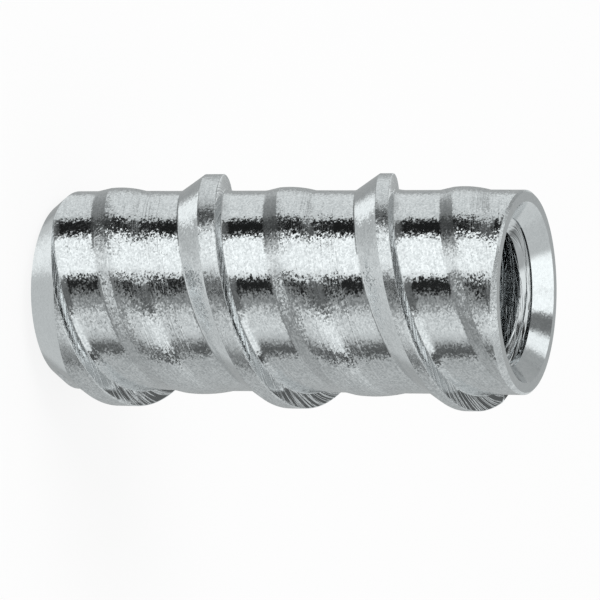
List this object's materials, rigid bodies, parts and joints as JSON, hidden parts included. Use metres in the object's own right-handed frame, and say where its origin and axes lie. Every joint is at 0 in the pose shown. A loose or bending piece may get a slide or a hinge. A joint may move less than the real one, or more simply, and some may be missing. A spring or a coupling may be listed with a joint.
{
  "type": "threaded insert",
  "caption": "Self-tapping screw-in insert with a coarse helical cutting ridge, a low following ridge, a chamfered closed lead end and a countersunk tapped blind hole.",
  "frame": {"origin": "centre of the flat leading face that the insert stands on", "axes": "+Z along the insert's axis, out of the tapped hole's mouth; -Y is the side seen in the picture"},
  "size_m": [0.0152, 0.0152, 0.0318],
  "materials": {
    "zinc_plated_steel": "bright zinc plate over rolled steel, satin with a fine sparkle"
  },
  "bodies": {
    "root": {"threaded_insert": "zinc_plated_steel"}
  },
  "joints": []
}
